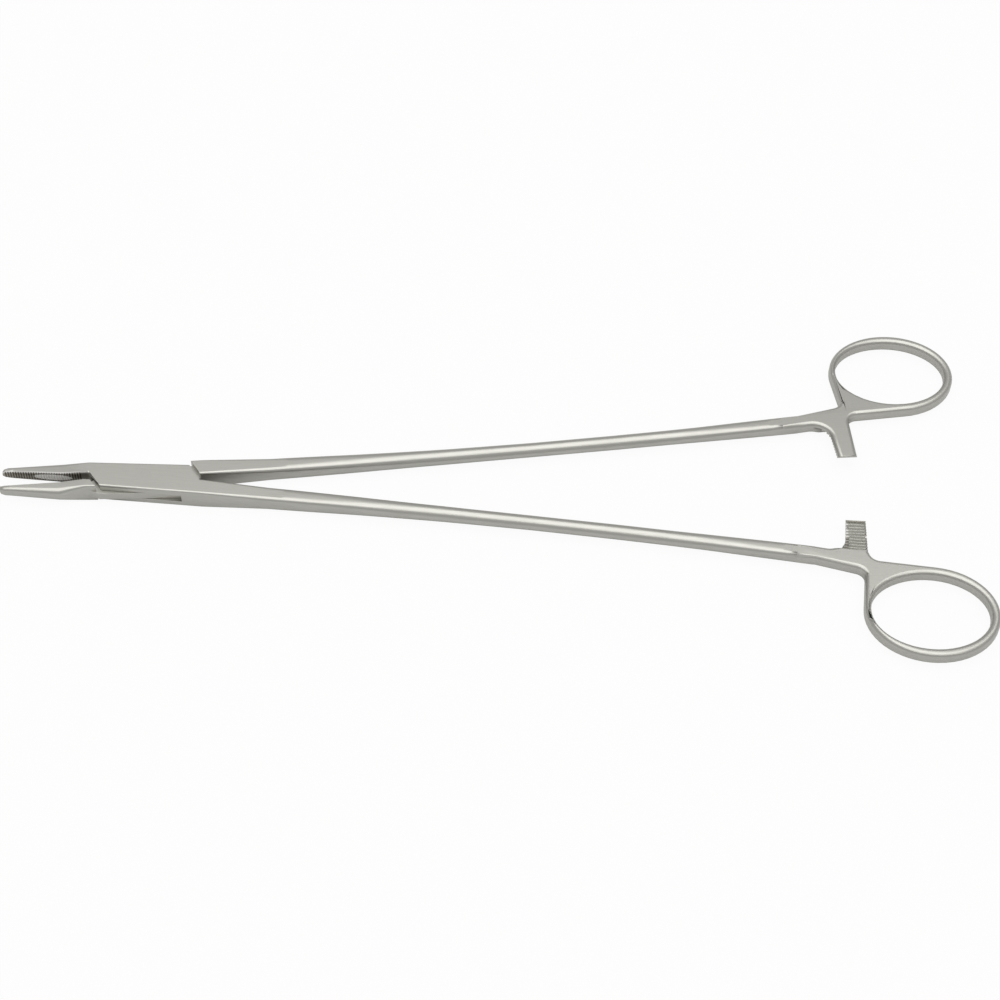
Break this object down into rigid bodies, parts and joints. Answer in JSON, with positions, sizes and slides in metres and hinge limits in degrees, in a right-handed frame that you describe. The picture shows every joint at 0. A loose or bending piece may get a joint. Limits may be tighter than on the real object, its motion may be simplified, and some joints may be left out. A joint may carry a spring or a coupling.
{
  "type": "surgical needle holder",
  "caption": "Long straight needle holder: box-locked steel halves with serrated jaws, a ratchet and finger rings, lying flat and slightly open.",
  "frame": {"origin": "on the axis of the box lock's pin, in the plane of the box's underside", "axes": "+X towards the finger rings, along the line midway between the two halves; +Z along the pin, up from the surface it lies on; +Y towards the ring of the tongue half"},
  "size_m": [0.268, 0.1144, 0.0062],
  "materials": {
    "forged_steel": "satin",
    "pin_steel": "satin"
  },
  "bodies": {
    "box_half": {"box_half": "forged_steel", "box_pin": "pin_steel"},
    "tongue_half": {"tongue_half": "forged_steel"}
  },
  "joints": [
    {"name": "box_lock", "type": "hinge", "parent": "box_half", "child": "tongue_half", "pos_m": [0, 0, 0], "axis": [0, 0, 1], "range_deg": [-7, 33]}
  ]
}
